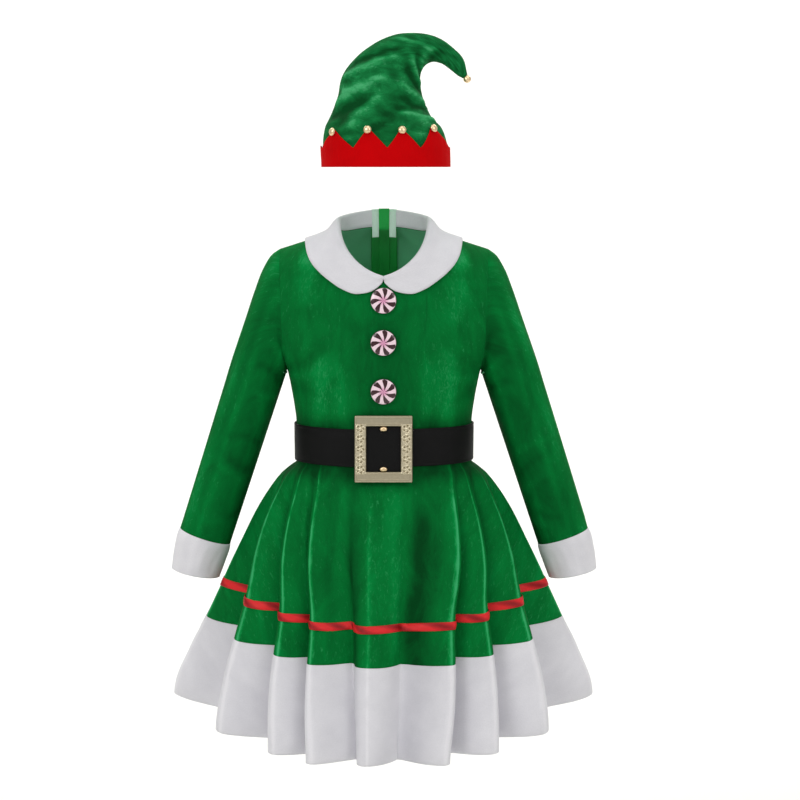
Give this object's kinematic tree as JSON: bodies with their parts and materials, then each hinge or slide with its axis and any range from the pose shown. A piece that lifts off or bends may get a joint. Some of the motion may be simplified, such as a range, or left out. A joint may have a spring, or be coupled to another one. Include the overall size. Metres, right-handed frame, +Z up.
{
  "type": "elf costume with hat",
  "caption": "Child's elf costume: long-sleeved green velvet dress with white collar, cuffs and hem, belt, candy buttons, and a pointed hat with bells.",
  "frame": {"origin": "in the middle of the neck opening, level with the neck ends of the shoulder seams, where the wearer's shoulders hold the dress", "axes": "+Z up, the front faces -Y, +X to the right in the front view, on the wearer's left"},
  "size_m": [0.5822, 0.5305, 0.9283],
  "materials": {
    "green_velvet": "crushed velvet",
    "green_lining": "woven tape",
    "white_cloth": "soft brushed white",
    "red_satin": "satin",
    "red_cloth": "felt",
    "black_belt": "matte black",
    "champagne_buckle": "metallised",
    "gold_metal": "polished",
    "peppermint": "printed swirl"
  },
  "bodies": {
    "costume": {"bodice_front": "green_velvet", "bodice_back_left": "green_velvet", "bodice_back_right": "green_velvet", "sleeve_left": "green_velvet", "sleeve_right": "green_velvet", "skirt_front": "green_velvet", "skirt_back": "green_velvet", "hat_crown_front": "green_velvet", "hat_crown_back": "green_velvet", "zip_tape_left": "green_lining", "zip_tape_right": "green_lining", "zip_guard": "green_lining", "cuff_left": "white_cloth", "cuff_right": "white_cloth", "collar_left": "white_cloth", "collar_right": "white_cloth", "hem_band_front": "white_cloth", "hem_band_back": "white_cloth", "ribbon_front": "red_satin", "ribbon_back": "red_satin", "hat_band_front": "red_cloth", "hat_band_back": "red_cloth", "belt": "black_belt", "buckle_backing": "black_belt", "buckle_frame": "champagne_buckle", "buckle_stud_top": "gold_metal", "buckle_stud_bottom": "gold_metal", "zip_slider": "gold_metal", "hat_bell_tip": "gold_metal", "hat_bell_front_1": "gold_metal", "hat_bell_front_2": "gold_metal", "hat_bell_front_3": "gold_metal", "hat_bell_front_4": "gold_metal", "hat_bell_back_1": "gold_metal", "hat_bell_back_2": "gold_metal", "hat_bell_back_3": "gold_metal", "hat_bell_back_4": "gold_metal", "candy_button_top": "peppermint", "candy_button_middle": "peppermint", "candy_button_bottom": "peppermint"},
    "pull": {"zip_pull": "gold_metal"}
  },
  "joints": [
    {"name": "zip_pull_swing", "type": "hinge", "parent": "costume", "child": "pull", "pos_m": [0, 0.06024, -0.00469], "axis": [1, 0, 0], "range_deg": [0, 150]}
  ]
}
